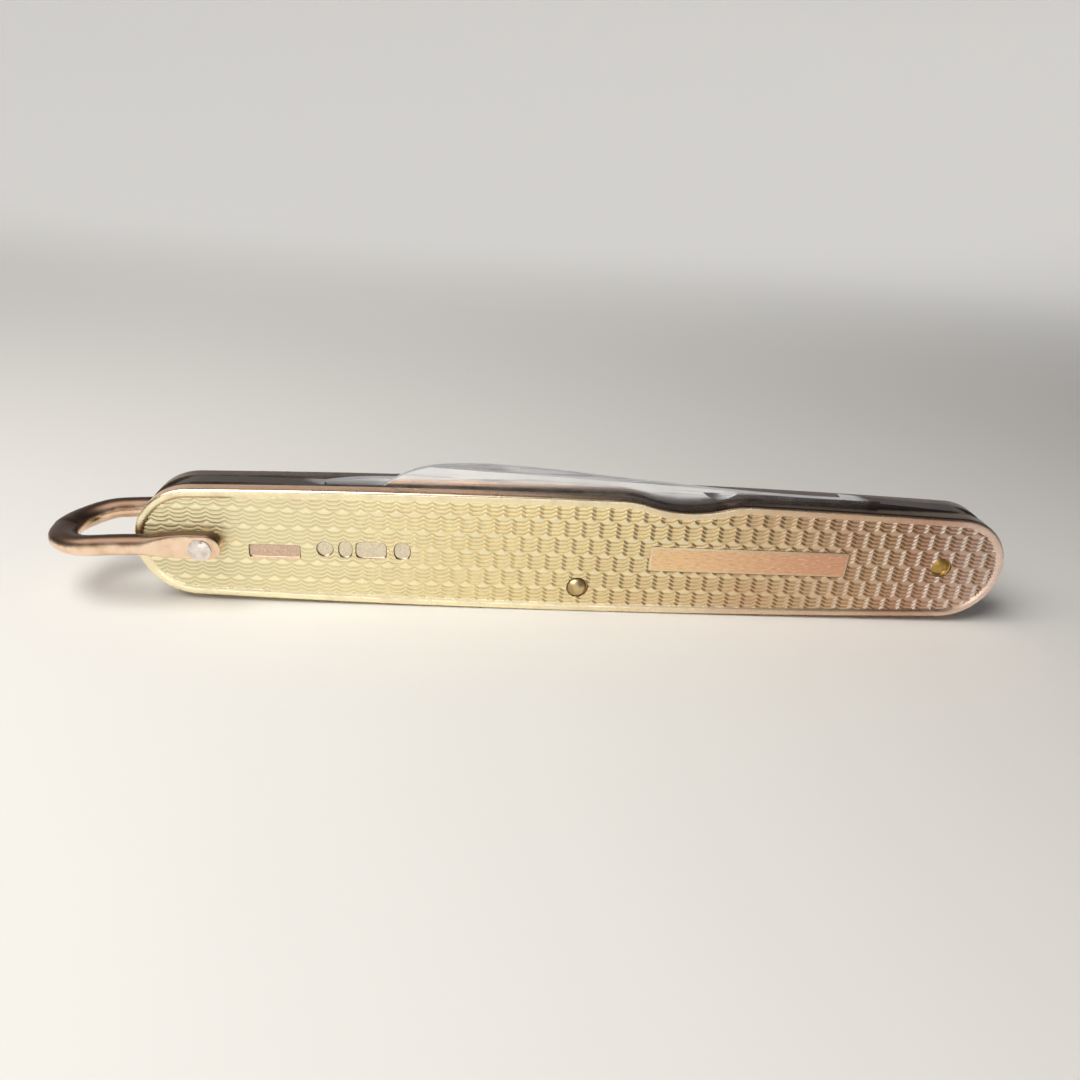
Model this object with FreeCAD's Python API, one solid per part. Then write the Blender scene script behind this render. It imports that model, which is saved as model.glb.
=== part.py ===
import FreeCAD, Part
import math
import os

# A folding pocket knife, closed: two blades on one back spring between lined covers of
# sheet gold, with a bail for a chain at one end. X runs along the handle from the bail
# to the main blade's pivot, +Z points to the backs of the closed blades and -Y out of
# the front cover. Lengths are in millimetres and angles in degrees. Places along X are
# counted from the middle of the handle, and the whole knife is moved at the end so that
# its origin is the middle of the underside of its bounding box.

# Handle: two round ends joined by long, slightly bulged sides
handle_length = 82.0
handle_height = 11.8
end_radius = 5.3
well_width = 1.5
liner_thickness = 0.45
cover_thickness = 1.3

# Covers: a sheet pan with a raised rim, filled by a core plate
sheet_thickness = 0.4
rim_width = 0.72
field_recess = 0.12
rim_round = 0.18
core_gap = 0.02

# Thumb notch in the blade side of each cover, liner and core
notch_place = 9.4
notch_depth = 0.95
notch_radius = 13.0
notch_blend = 9.0

# Plain panel on the front cover
panel_place = 15.8
panel_length = 19.1
panel_height = 2.4
panel_rise = 0.05
panel_corner = 0.25

# Pivots and pins
pivot_inset = 6.2
pivot_height = 6.0
main_pin_radius = 0.9
main_pin_sink = 0.2
bail_pin_radius = 0.8
bail_pin_head_radius = 1.08
bail_pin_head_rise = 0.34
spring_pin_place = -0.45
spring_pin_height = 2.6
spring_pin_radius = 0.9
spring_pin_rise = 0.3
fixed_fit = 0.01
running_fit = 0.04

# Back spring
spring_height = 3.7
spring_gap = 0.12

# Tangs: a heel of full radius, and a cam that runs against the end of the spring
tang_side_gap = 0.03
tang_heel_radius = 5.35
tang_cam_radius = 3.8
tang_heel_from = 140.0
tang_heel_to = 90.0
tang_length = 10.6
tang_belly = 1.4

# Blades, side by side in the well. The main blade is as long as the other blade's tang lets it be.
blade_thickness = 0.64
blade_edge_thickness = 0.1
main_tip_gap = 3.7
main_back = 7.93
main_belly = 0.6
main_grind_top = 4.6
second_reach = 44.0
second_back = 6.1
second_belly = -0.8
second_grind_top = 5.0

# Outlines of the blades, from the tang to the point. The first number is a share of the
# reach from pivot to point, the second a share of the back's greatest height over the pivot.
main_spine_shares = [
    (0.155, 0.757), (0.34, 0.790), (0.47, 0.846), (0.58, 0.902), (0.67, 0.955),
    (0.75, 0.988), (0.81, 1.0), (0.87, 0.978), (0.905, 0.935), (0.935, 0.855), (0.965, 0.72),
]
main_point_share = 0.45
main_edge_shares = [(0.975, 0.26), (0.92, 0.08), (0.82, -0.035)]
second_spine_shares = [
    (0.10, 0.875), (0.24, 0.895), (0.29, 0.945), (0.40, 0.985), (0.60, 1.0), (0.80, 0.97), (0.92, 0.84),
]
second_point_share = 0.56
second_edge_shares = [(0.965, 0.36), (0.88, 0.22), (0.76, 0.155)]
choil_share = 0.35

# Nail nick in the outer face of each blade, the mark of a round cutter held aslant, set
# nearer to the blade's pivot than the thumb notch is
nick_radius = 6.0
nick_depth = 0.22
nick_tilt = 20.0
nick_drop = 0.35
nick_offset = 3.0

# Swedge: a flat slope on the outer side of the main blade's back, between two shares of its reach
swedge_tilt = 23.0
swedge_from_share = 0.47
swedge_to_share = 0.89

# Bail: a thick wire in a U that straddles the handle, hammered flat into an eye at each end
bail_reach = 14.7
bail_gap = 0.2
bail_wire = 1.85
bail_bow_thickness = 2.0
bail_leg_height = 1.85
bail_bow_height = 1.95
bail_eye_thickness = 1.3
bail_eye_radius = 1.45
bail_eye_offset = 0.45
bail_eye_length = 2.6
bail_neck = 5.2

# How far cuts run past what they cut, and how near two places count as the same
overrun = 5.0
same_place = 0.01

# Worked out from the sizes above
middle = handle_height / 2
half_well = well_width / 2
liner_face = half_well + liner_thickness
cover_face = liner_face + cover_thickness
pan_floor = cover_face - sheet_thickness
field_face = cover_face - field_recess
pivot_place = handle_length / 2 - pivot_inset
half_tang = half_well - tang_side_gap
main_reach = 2 * pivot_place - tang_length - main_tip_gap
bail_inner = cover_face + bail_gap
bail_outer = bail_inner + bail_wire
bail_seat = bail_inner + bail_eye_thickness
origin_shift = (pivot_place + bail_reach - handle_length / 2) / 2
FRONT, BACK = -1, 1


def at(x, z, y=0):
    return FreeCAD.Vector(x, y, z)


def extruded(edges, y_from, y_to):
    """The solid between two places along Y with this closed outline."""
    face = Part.Face(Part.Wire(Part.__sortEdges__(edges)))
    solid = face.extrude(at(0, 0, y_to - y_from))
    solid.translate(at(0, 0, y_from))
    return solid


def lines(points):
    return [Part.LineSegment(a, b).toShape() for a, b in zip(points, points[1:])]


def smooth(points):
    curve = Part.BSplineCurve()
    curve.interpolate(points)
    return curve.toShape()


def arc(a, b, c):
    return Part.Arc(a, b, c).toShape()


def polar(place, radius, degrees):
    """A point about a pivot; 0 degrees is along +X and 90 degrees along +Z."""
    angle = math.radians(degrees)
    return at(place + radius * math.cos(angle), pivot_height + radius * math.sin(angle))


def rod(x, z, radius, y_from, y_to):
    return Part.makeCylinder(radius, y_to - y_from, at(x, z, y_from), at(0, 0, 1))


def drilled(solid, *holes):
    """The solid with holes right through it along Y, each given as x, z and radius."""
    for x, z, radius in holes:
        solid = solid.cut(rod(x, z, radius, -cover_face - overrun, cover_face + overrun))
    return solid


def handle_outline(inset):
    """The handle's outline, four tangent arcs, moved in by the inset."""
    end_place = handle_length / 2 - end_radius
    bulge = middle - end_radius
    side_radius = (end_place**2 + middle**2 - end_radius**2) / (2 * bulge)
    lean = math.asin(end_place / (side_radius - end_radius))
    radius = end_radius - inset
    x = end_place + radius * math.sin(lean)
    z = radius * math.cos(lean)
    tip = handle_length / 2 - inset
    rise = middle - inset
    return [
        arc(at(-x, middle + z), at(0, middle + rise), at(x, middle + z)),
        arc(at(x, middle + z), at(tip, middle), at(x, middle - z)),
        arc(at(x, middle - z), at(0, middle - rise), at(-x, middle - z)),
        arc(at(-x, middle - z), at(-tip, middle), at(-x, middle + z)),
    ]


def corner_edges(solid, place):
    """The edges along Y that the thumb notch leaves at its two ends."""
    found = []
    for edge in solid.Edges:
        a, b = edge.Vertexes[0].Point, edge.Vertexes[-1].Point
        along_y = abs(a.x - b.x) + abs(a.z - b.z) < same_place
        if along_y and a.z > middle and abs(a.x - place) < notch_radius:
            found.append(edge)
    return found


def layer(side, inner, outer, inset=0):
    """One plate of the handle's outline with its thumb notch, on the front or back side."""
    y_from, y_to = sorted((side * inner, side * outer))
    place = -side * notch_place
    solid = extruded(handle_outline(inset), y_from, y_to)
    scoop_height = handle_height - notch_depth + notch_radius
    solid = solid.cut(rod(place, scoop_height, notch_radius + inset, y_from - overrun, y_to + overrun))
    return solid.makeFillet(notch_blend - inset, corner_edges(solid, place))


def handle_holes(fit):
    """Where the three pins pass, with this fit on the pins that stay still."""
    return [
        (pivot_place, pivot_height, main_pin_radius + fit),
        (spring_pin_place, spring_pin_height, spring_pin_radius + fit),
        (-pivot_place, pivot_height, bail_pin_radius + running_fit),
    ]


def outer_face_edges(solid, y):
    """The outline of the solid's flat face at this place along Y."""
    for face in solid.Faces:
        box = face.BoundBox
        if abs(box.YMin - y) + abs(box.YMax - y) < same_place:
            return face.OuterWire.Edges
    return []


def cover(side):
    """A sheet pan: rim rounded over, field sunk inside the rim, and open to the inside."""
    pan = layer(side, liner_face, cover_face)
    pan = pan.makeFillet(rim_round, outer_face_edges(pan, side * cover_face))
    pan = pan.cut(layer(side, field_face, cover_face + overrun, rim_width))
    pan = pan.cut(layer(side, half_well, pan_floor, sheet_thickness))
    if side == FRONT:
        pan = pan.fuse(panel()).removeSplitter()
    return drilled(pan, *handle_holes(fixed_fit))


def panel():
    """The plain panel, a low plate that stands on the front cover's field."""
    low = at(panel_place - panel_length / 2, middle - panel_height / 2, -field_face - panel_rise)
    plate = Part.makeBox(panel_length, panel_rise + field_face - pan_floor, panel_height, low)
    upright = [e for e in plate.Edges if abs(e.tangentAt(e.FirstParameter).y) == 1]
    return plate.makeFillet(panel_corner, upright)


def core(side):
    plate = layer(side, liner_face, pan_floor, sheet_thickness + core_gap)
    return drilled(plate, *handle_holes(fixed_fit))


def liner(side):
    return drilled(layer(side, half_well, liner_face), *handle_holes(fixed_fit))


def sector(place, radius, start, stop):
    """A slice of a disc about a pivot, through the well and past it."""
    centre = at(place, pivot_height)
    a, b = polar(place, radius, start), polar(place, radius, stop)
    edges = lines([b, centre, a]) + [arc(a, polar(place, radius, (start + stop) / 2), b)]
    return extruded(edges, -cover_face, cover_face)


def back_spring():
    """A bar along the back, hollowed at each end for the sweep of a tang's heel and cam."""
    bar = extruded(handle_outline(0), -half_well, half_well)
    top = Part.makeBox(handle_length, well_width, handle_height, at(-handle_length / 2, spring_height, -half_well))
    bar = bar.cut(top)
    stop = tang_heel_from + 180 + math.degrees(spring_gap / tang_cam_radius)
    for place in (-pivot_place, pivot_place):
        swept = (tang_heel_from, stop) if place < 0 else (180 - stop, 180 - tang_heel_from)
        bar = bar.cut(sector(place, tang_heel_radius + overrun, *swept))
        bar = bar.cut(rod(place, pivot_height, tang_cam_radius + spring_gap, -cover_face, cover_face))
    return drilled(bar, (spring_pin_place, spring_pin_height, spring_pin_radius + fixed_fit))


def tang(place, way, end_rise):
    """The thick end of a blade; way is 1 where the blade points along +X when closed."""
    def turned(radius, degrees):
        return polar(place, radius, degrees if way > 0 else 180 - degrees)

    def local(along, up):
        return at(place + way * along, pivot_height + up)

    belly_along = math.sqrt(tang_cam_radius**2 - tang_belly**2)
    belly_degrees = 360 - math.degrees(math.asin(tang_belly / tang_cam_radius))
    heel_middle = (tang_heel_from + tang_heel_to) / 2
    cam_middle = (tang_heel_from + belly_degrees) / 2
    heel_end = turned(tang_heel_radius, tang_heel_from)
    cam_end = turned(tang_cam_radius, tang_heel_from)
    heel_top = turned(tang_heel_radius, tang_heel_to)
    edges = [arc(heel_end, turned(tang_heel_radius, heel_middle), heel_top)]
    edges += lines([
        heel_top, local(tang_length, end_rise),
        local(tang_length, -tang_belly), local(belly_along, -tang_belly),
    ])
    edges.append(arc(local(belly_along, -tang_belly), turned(tang_cam_radius, cam_middle), cam_end))
    edges += lines([cam_end, heel_end])
    return extruded(edges, -half_tang, half_tang)


def rise_at(along, reach, back, shares):
    """The height of a blade's back over the pivot, between two of its outline's points."""
    points = [(a * reach, b * back) for a, b in shares]
    for (a, low), (b, high) in zip(points, points[1:]):
        if a <= along <= b:
            return low + (high - low) * (along - a) / (b - a)
    return points[0][1]


def leaf(place, way, y_from, reach, back, belly, spine_shares, point_share, edge_shares, grind_top):
    """The flat of a blade, ground on both sides down to a thin edge."""
    def local(along, up):
        return at(place + way * along, pivot_height + up)

    start = tang_length * (1 - choil_share)
    spine = [(start, rise_at(start, reach, back, spine_shares))]
    spine += [(a * reach, b * back) for a, b in spine_shares if a * reach > start]
    point = (reach, point_share * back)
    edge = [point] + [(a * reach, b * back) for a, b in edge_shares]
    heel = (tang_length * (1 + choil_share), -belly)
    spine_edge = smooth([local(*p) for p in spine + [point]])
    cutting_edge = smooth([local(*p) for p in edge + [heel]])
    rest = lines([local(*heel), local(start, -belly), local(*spine[0])])
    flat = extruded([spine_edge, cutting_edge] + rest, y_from, y_from + blade_thickness)
    ground_from = tang_length * (1 + choil_share)
    for side in (FRONT, BACK):
        face_y = y_from if side == FRONT else y_from + blade_thickness
        edge_y = face_y - side * (blade_thickness - blade_edge_thickness) / 2
        low = pivot_height - belly
        slope = [at(0, pivot_height + grind_top, face_y), at(0, low, edge_y), at(0, low - overrun, edge_y)]
        slope += [at(0, low - overrun, face_y + side * overrun)]
        slope += [at(0, pivot_height + grind_top, face_y + side * overrun)]
        wedge = Part.Face(Part.makePolygon(slope + slope[:1])).extrude(at(way * (reach + overrun), 0))
        wedge.translate(at(place + way * ground_from, 0))
        flat = flat.cut(wedge)
    return flat


def nick(place, way, face_y, side, reach, back, spine_shares):
    """The cutter that leaves a crescent with a straight upper edge in a blade's face."""
    along = pivot_place - notch_place - nick_offset
    top = pivot_height + rise_at(along, reach, back, spine_shares) - nick_drop
    tilt = math.radians(nick_tilt)
    outward = side * math.cos(tilt) * nick_radius - side * nick_depth
    centre = at(place + way * along, top + math.sin(tilt) * nick_radius, face_y + outward)
    return Part.makeCylinder(nick_radius, overrun, centre, at(0, -math.cos(tilt), side * math.sin(tilt)))


def swedge():
    """The wedge that is ground off the main blade's back, up from a straight line on its near face."""
    ends = []
    for share in (swedge_from_share, swedge_to_share):
        along = share * main_reach
        rise = rise_at(along, main_reach, main_back, main_spine_shares)
        ends.append(at(pivot_place - along, pivot_height + rise, -half_tang))
    run = ends[1] - ends[0]
    up = at(run.z, -run.x).normalize()
    tilt = math.radians(swedge_tilt)
    inner = (up * math.cos(tilt) + at(0, 0, math.sin(tilt))) * overrun
    outer = at(0, 0, -overrun)
    corners = [ends[0], ends[0] + inner, ends[0] + up * overrun + outer, ends[0] + outer, ends[0]]
    return Part.Face(Part.makePolygon(corners)).extrude(run)


def main_blade():
    end_rise = rise_at(tang_length, main_reach, main_back, main_spine_shares)
    flat = leaf(
        pivot_place, -1, -half_tang, main_reach, main_back, main_belly,
        main_spine_shares, main_point_share, main_edge_shares, main_grind_top,
    )
    blade = tang(pivot_place, -1, end_rise).fuse(flat).removeSplitter()
    cutter = nick(pivot_place, -1, -half_tang, FRONT, main_reach, main_back, main_spine_shares)
    blade = blade.cut(cutter).cut(swedge())
    return drilled(blade, (pivot_place, pivot_height, main_pin_radius + running_fit))


def second_blade():
    end_rise = rise_at(tang_length, second_reach, second_back, second_spine_shares)
    flat = leaf(
        -pivot_place, 1, half_tang - blade_thickness, second_reach, second_back, second_belly,
        second_spine_shares, second_point_share, second_edge_shares, second_grind_top,
    )
    blade = tang(-pivot_place, 1, end_rise).fuse(flat).removeSplitter()
    blade = blade.cut(nick(-pivot_place, 1, half_tang, BACK, second_reach, second_back, second_spine_shares))
    return drilled(blade, (-pivot_place, pivot_height, bail_pin_radius + running_fit))


def dome(x, z, radius, rise, y, side):
    """A low round cap that stands on a pin's end."""
    ball_radius = (radius**2 + rise**2) / (2 * rise)
    ball = Part.makeSphere(ball_radius, at(x, z, y + side * (rise - ball_radius)))
    y_from, y_to = sorted((y, y + side * (rise + overrun)))
    return ball.common(rod(x, z, radius, y_from, y_to))


def main_pivot_pin():
    length_half = cover_face - main_pin_sink
    return rod(pivot_place, pivot_height, main_pin_radius, -length_half, length_half)


def spring_pin():
    pin = rod(spring_pin_place, spring_pin_height, spring_pin_radius, -cover_face, cover_face)
    for side in (FRONT, BACK):
        cap = dome(spring_pin_place, spring_pin_height, spring_pin_radius, spring_pin_rise, side * cover_face, side)
        pin = pin.fuse(cap)
    return pin.removeSplitter()


def bail_pin():
    seat = bail_seat + running_fit
    pin = rod(-pivot_place, pivot_height, bail_pin_radius, -seat, seat)
    for side in (FRONT, BACK):
        pin = pin.fuse(dome(-pivot_place, pivot_height, bail_pin_head_radius, bail_pin_head_rise, side * seat, side))
    return pin.removeSplitter()


def upright_slab(x_from, x_to, half):
    """A tall block along X with a half-round end at x_from, as wide as twice the half."""
    block = Part.makeBox(x_to - x_from, 2 * half, handle_height, at(x_from, 0, -half))
    return block.fuse(Part.makeCylinder(half, handle_height, at(x_from, 0)))


def flat_eyes(eye):
    """What is hammered off the outer sides of the legs, from the necks to past the eyes."""
    sides = []
    for side in (FRONT, BACK):
        corners = [
            at(eye - bail_neck, 0, side * bail_outer), at(eye - bail_eye_length, 0, side * bail_seat),
            at(eye + bail_reach, 0, side * bail_seat), at(eye + bail_reach, 0, side * (bail_outer + overrun)),
            at(eye - bail_neck, 0, side * (bail_outer + overrun)), at(eye - bail_neck, 0, side * bail_outer),
        ]
        sides.append(Part.Face(Part.makePolygon(corners)).extrude(at(0, handle_height)))
    return sides


def bail():
    """The part common to a U seen from above and a strip with an eye seen from the side."""
    eye = -pivot_place
    round_place = eye + bail_eye_offset
    bow_place = eye - bail_reach + bail_outer
    hollow_place = eye - bail_reach + bail_bow_thickness + bail_inner
    u_shape = upright_slab(bow_place, round_place + bail_eye_radius, bail_outer)
    u_shape = u_shape.cut(upright_slab(hollow_place, eye + bail_reach, bail_inner))
    for side in flat_eyes(eye):
        u_shape = u_shape.cut(side)
    neck = eye - bail_neck
    end = eye - bail_reach
    strip = lines([
        at(round_place, pivot_height + bail_eye_radius), at(neck, pivot_height + bail_leg_height / 2),
        at(end, pivot_height + bail_bow_height / 2), at(end, pivot_height - bail_bow_height / 2),
        at(neck, pivot_height - bail_leg_height / 2), at(round_place, pivot_height - bail_eye_radius),
        at(round_place, pivot_height + bail_eye_radius),
    ])
    side_shape = extruded(strip, -bail_outer, bail_outer)
    side_shape = side_shape.fuse(rod(round_place, pivot_height, bail_eye_radius, -bail_outer, bail_outer))
    solid = u_shape.common(side_shape).removeSplitter()
    return drilled(solid, (eye, pivot_height, bail_pin_radius + running_fit))


pieces = {
    "front_cover": cover(FRONT),
    "back_cover": cover(BACK),
    "front_core": core(FRONT),
    "back_core": core(BACK),
    "front_liner": liner(FRONT),
    "back_liner": liner(BACK),
    "back_spring": back_spring(),
    "main_blade": main_blade(),
    "second_blade": second_blade(),
    "main_pivot_pin": main_pivot_pin(),
    "spring_pin": spring_pin(),
    "bail_pin": bail_pin(),
    "bail": bail(),
}

os.makedirs("parts", exist_ok=True)
for name, shape in pieces.items():
    shape.translate(at(origin_shift, 0))
    shape.exportStep("parts/" + name + ".step")
    box = shape.optimalBoundingBox()
    print(name, "solids", len(shape.Solids), "valid", shape.isValid(), "volume", round(shape.Volume, 3))
    print("  x", round(box.XMin, 3), round(box.XMax, 3), "y", round(box.YMin, 3), round(box.YMax, 3),
          "z", round(box.ZMin, 3), round(box.ZMax, 3))
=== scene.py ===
# %% [markdown]
# # A folding pocket knife with engine-turned covers
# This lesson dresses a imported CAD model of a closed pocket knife. The CAD pieces give every place
# and size, and Blender adds what a solid model leaves plain: the cut pattern of the covers, the
# rounded bail, the peened pins, and metal that looks used. The first step is to load the frame and
# to keep its box, because nothing that is added may grow past it.

# %% Load the frame
import math

import bmesh
import bpy
from mathutils import Matrix, Vector


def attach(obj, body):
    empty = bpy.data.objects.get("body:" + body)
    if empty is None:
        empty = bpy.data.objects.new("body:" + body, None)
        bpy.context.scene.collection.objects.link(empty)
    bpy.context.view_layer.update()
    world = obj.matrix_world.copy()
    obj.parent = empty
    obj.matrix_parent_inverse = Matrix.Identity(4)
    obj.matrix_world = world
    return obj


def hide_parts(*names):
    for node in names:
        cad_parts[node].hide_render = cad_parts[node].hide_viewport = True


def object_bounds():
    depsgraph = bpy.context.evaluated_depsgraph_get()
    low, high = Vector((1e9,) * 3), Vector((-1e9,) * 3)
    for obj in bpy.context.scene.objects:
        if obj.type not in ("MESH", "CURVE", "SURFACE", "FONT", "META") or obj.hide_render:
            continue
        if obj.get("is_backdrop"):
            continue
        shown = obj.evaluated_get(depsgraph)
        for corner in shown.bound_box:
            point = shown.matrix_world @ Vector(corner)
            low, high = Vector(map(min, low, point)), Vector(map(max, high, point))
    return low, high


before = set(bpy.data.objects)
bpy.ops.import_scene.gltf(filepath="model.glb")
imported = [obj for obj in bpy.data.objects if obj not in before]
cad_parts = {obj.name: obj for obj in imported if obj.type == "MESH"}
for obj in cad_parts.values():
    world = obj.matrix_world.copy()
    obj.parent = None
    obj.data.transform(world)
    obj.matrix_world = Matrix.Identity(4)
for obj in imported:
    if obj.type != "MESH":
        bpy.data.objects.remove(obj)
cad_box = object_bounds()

# %% [markdown]
# ## Sizes
# The knife is easiest to think of in millimetres, counted along X from the middle of the handle, so
# every mesh is made that way and is turned into metres only when it is done. The values repeat the
# ones that the CAD model was made from. The bail makes the whole knife longer on the left, so the
# middle of the handle lies a little to the right of the frame's origin. Faces of the covers are given
# by their distance from the middle plane, which is the same on both sides.

# %% Sizes of the handle
MM = 0.001
middle_place = 4.25
handle_length = 82.0
handle_height = 11.8
end_radius = 5.3
liner_face = 1.2
pan_floor = 2.1
field_face = 2.38
cover_face = 2.5
pivot_place = 34.8
pivot_height = 6.0
FRONT, BACK = -1, 1
print("handle", handle_length, "by", handle_height, "by", 2 * cover_face, "mm")

# %% [markdown]
# ## Making meshes
# A few small helpers are enough for every piece. One lists the faces between rings of points, one
# makes a closed mesh and turns its faces outward, one joins or cuts two closed meshes, and one turns
# a finished mesh from millimetres into the frame's metres. The boolean modifier with the manifold
# solver is quick and exact on closed meshes, and each face keeps the finish of the mesh that it came
# from. For that, both meshes need as many places for finishes, and a cover has the most, four.

# %% Closed meshes
def ring_faces(rings, count, endless=False):
    """Faces between rings of as many points; an endless row joins its ends, another is capped."""
    faces = []
    for ring in range(rings if endless else rings - 1):
        here, there = ring * count, (ring + 1) % rings * count
        for corner in range(count):
            after = (corner + 1) % count
            faces.append((here + corner, there + corner, there + after, here + after))
    if not endless:
        faces.append(tuple(range(count)))
        faces.append(tuple(range((rings - 1) * count, rings * count)))
    return faces


def closed_mesh(name, points, faces, finish_index=0):
    """An object with a closed mesh in millimetres, its faces turned outward."""
    mesh = bpy.data.meshes.new(name)
    mesh.from_pydata(points, [], faces)
    work = bmesh.new()
    work.from_mesh(mesh)
    bmesh.ops.recalc_face_normals(work, faces=work.faces)
    for face in work.faces:
        face.material_index = finish_index
    work.to_mesh(mesh)
    work.free()
    piece = bpy.data.objects.new(name, mesh)
    bpy.context.collection.objects.link(piece)
    return piece


print("a box closes with", len(ring_faces(2, 4)), "faces")

# %% Joining, cutting and settling
TURNED, RIM, PANEL, PUNCHED = range(4)
most_finishes = 4


def combine(piece, tool, operation):
    """Joins, cuts or intersects the piece with the tool, which is used up."""
    for one in (piece, tool):
        while len(one.data.materials) < most_finishes:
            one.data.materials.append(None)
    change = piece.modifiers.new(operation.lower(), "BOOLEAN")
    change.operation = operation
    change.object = tool
    change.solver = "MANIFOLD"
    graph = bpy.context.evaluated_depsgraph_get()
    mesh = bpy.data.meshes.new_from_object(piece.evaluated_get(graph))
    piece.modifiers.clear()
    piece.data = mesh
    bpy.data.objects.remove(tool)
    return piece


def settle(piece, sharp_degrees, *finishes):
    """Turns the mesh into metres in the frame, smooths it between sharp edges and dresses it."""
    mesh = piece.data
    mesh.transform(Matrix.Translation((middle_place, 0, 0)))
    mesh.transform(Matrix.Scale(MM, 4))
    mesh.shade_smooth()
    mesh.set_sharp_from_angle(angle=math.radians(sharp_degrees))
    while len(mesh.materials) > len(finishes):
        mesh.materials.pop()
    while len(mesh.materials) < len(finishes):
        mesh.materials.append(None)
    for place, finish in enumerate(finishes):
        mesh.materials[place] = finish
    mesh.update()
    print(piece.name, len(mesh.vertices), "points", len(mesh.polygons), "faces")


def stand_in(piece, node, body):
    """Lets a piece move with one of the record's bodies, in the place of a CAD node, which it hides."""
    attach(piece, body)
    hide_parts(node)


print("a cover has", most_finishes, "finishes")

# %% [markdown]
# ## Writing finishes
# A finish is a small network of nodes. Written out node by node it is long, so one class wraps a
# socket and lets Python's operators add Math nodes, and another makes every other node with one
# method. Colours are blended with Mix nodes, because a Math node would turn them grey. Most marks of
# wear here are masks: a number from 0 to 1 that comes from where a point is, which way it faces, or
# from noise.

# %% Values
class Value:
    """A number, vector or colour that changes over a surface."""

    def __init__(self, finish, socket):
        self.finish = finish
        self.socket = socket

    def sum(self, operation, first, second):
        return self.finish.node("ShaderNodeMath", {"operation": operation}, {0: first, 1: second})

    def __add__(self, other):
        return self.sum("ADD", self, other)

    def __mul__(self, other):
        return self.sum("MULTIPLY", self, other)

    def __sub__(self, other):
        return self.sum("SUBTRACT", self, other)

    def __rsub__(self, other):
        return self.sum("SUBTRACT", other, self)

    def __abs__(self):
        return self.sum("ABSOLUTE", self, 0)

    __radd__ = __add__
    __rmul__ = __mul__


# %% Finishes
class Finish:
    """A material that is built from nodes."""

    def __init__(self, name):
        self.material = bpy.data.materials.new(name)
        self.material.use_nodes = True
        self.tree = self.material.node_tree
        self.tree.nodes.clear()

    def node(self, kind, settings=None, inputs=None, output=0):
        """A node of this kind, with its settings made first and then its sockets fed."""
        made = self.tree.nodes.new(kind)
        for name, value in (settings or {}).items():
            setattr(made, name, value)
        for name, value in (inputs or {}).items():
            if isinstance(value, Value):
                self.tree.links.new(value.socket, made.inputs[name])
            else:
                made.inputs[name].default_value = value
        if len(made.outputs):
            return Value(self, made.outputs[output])

    def place(self):
        """Where a point is in the frame, in metres."""
        return self.node("ShaderNodeTexCoord", output="Object")

    def along(self, axis):
        return self.node("ShaderNodeSeparateXYZ", inputs={"Vector": self.place()}, output=axis)

    def facing(self, axis):
        """How far the surface faces along an axis of the knife, from -1 to 1."""
        out = self.node("ShaderNodeTexCoord", output="Normal")
        return self.node("ShaderNodeSeparateXYZ", inputs={"Vector": out}, output=axis)

    def grain(self, x, y, z, detail=3.0, lean=0.0):
        """Soft noise from 0 to 1, with this many grains to the metre along each axis."""
        layout = {"Vector": self.place(), "Rotation": (0, lean, 0), "Scale": (x, y, z)}
        stretched = self.node("ShaderNodeMapping", inputs=layout)
        return self.node("ShaderNodeTexNoise", inputs={"Vector": stretched, "Scale": 1.0, "Detail": detail})

    def fade(self, value, start, stop):
        """A mask that goes smoothly from 0 to 1 between two values."""
        ends = {"Value": value, "From Min": start, "From Max": stop}
        return self.node("ShaderNodeMapRange", {"interpolation_type": "SMOOTHSTEP"}, ends)

    def between(self, axis, start, stop):
        """A mask that goes from 0 to 1 between two places in the frame, in millimetres."""
        return self.fade(self.along(axis), start * MM, stop * MM)

    def blend(self, mask, first, second):
        """The first colour where the mask is 0, the second where it is 1."""
        parts = {0: mask, 6: (*first, 1.0) if isinstance(first, tuple) else first}
        parts[7] = (*second, 1.0) if isinstance(second, tuple) else second
        return self.node("ShaderNodeMix", {"data_type": "RGBA"}, parts, 2)

    def raised(self, height, depth):
        """A surface that stands up by this depth, in millimetres, where the height is 1."""
        return self.node("ShaderNodeBump", inputs={"Height": height, "Distance": depth * MM})

    def surface(self, colour, roughness, normal, **others):
        """Metal, and the end of the network; other sockets go by their names."""
        parts = {"Base Color": colour, "Roughness": roughness, "Normal": normal, "Metallic": 1.0}
        shine = self.node("ShaderNodeBsdfPrincipled", inputs={**parts, **others})
        self.node("ShaderNodeOutputMaterial", inputs={"Surface": shine})
        print("made", self.material.name, "from", len(self.tree.nodes), "nodes")
        return self.material


# %% [markdown]
# ## The engine-turned gold
# The covers are a low-carat gold, pale at the bail, yellow in the middle and rosy at the main pivot,
# where the rosy tone is the gold's own and its darkening is painted shade. Dirt and tarnish stay in
# the cuts, less so at the bail, where the chain has chafed them clean and dull. The mask for that
# comes from the real depth of the cuts, which is how far a point is from the middle plane, so it needs
# no drawing of the pattern. The uncut flats just under the face are painted brighter, a painted
# highlight. Where a cut falls towards +X, one of its walls faces right and up and the other left and
# down, so the product of the two is positive. From the middle to the main pivot those walls are painted
# brown, a painted shade, and the walls that face down get a little of that painted shade as well. Near
# the main pivot the walls where the product is negative are painted almost white, a painted highlight.

# %% Shades of gold
pale_gold = (0.80, 0.73, 0.48)
clean_gold = (0.88, 0.73, 0.38)
rosy_shaded_gold = (0.55, 0.27, 0.19)
rosy_tip = (0.86, 0.62, 0.50)
patch_shift = 20.0


def rosy_shade_share(finish):
    """How far the gold turns rosy, and darker as a painted shade: more towards the main pivot, in soft
    patches.
    """
    patches = finish.grain(160, 160, 160) - 0.5
    return finish.fade(finish.along("X") + patches * (patch_shift * MM), -4 * MM, 46 * MM)


def near_face(finish, low, high):
    """A mask that goes from 0 to 1 between two depths under the field's face, in millimetres."""
    return finish.fade(abs(finish.along("Y")), (field_face - low) * MM, (field_face - high) * MM)


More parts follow.
